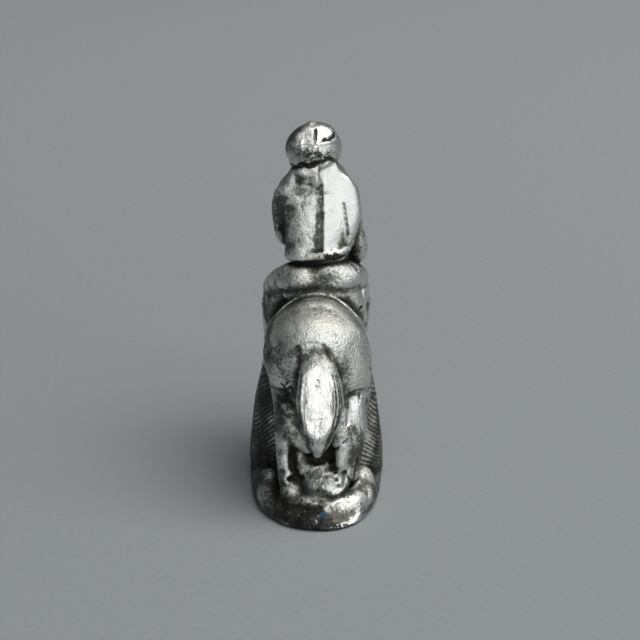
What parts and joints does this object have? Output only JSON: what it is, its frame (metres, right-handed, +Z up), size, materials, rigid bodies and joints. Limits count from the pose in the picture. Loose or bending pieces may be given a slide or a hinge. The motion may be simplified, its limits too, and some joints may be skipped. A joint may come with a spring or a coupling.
{
  "type": "horse and rider figurine",
  "caption": "Small cast metal figure of a horse and rider taking off over a ribbed brush hedge, on an oval base.",
  "frame": {"origin": "centre of the oval base's flat underside", "axes": "+Z up, +Y the way the horse faces, +X to the horse's right"},
  "size_m": [0.014, 0.036, 0.04],
  "materials": {
    "cast_metal": "silver-coloured cast white metal, polished on its high places, with dark patina in its hollows"
  },
  "bodies": {
    "root": {"horse_and_rider": "cast_metal"}
  },
  "joints": []
}
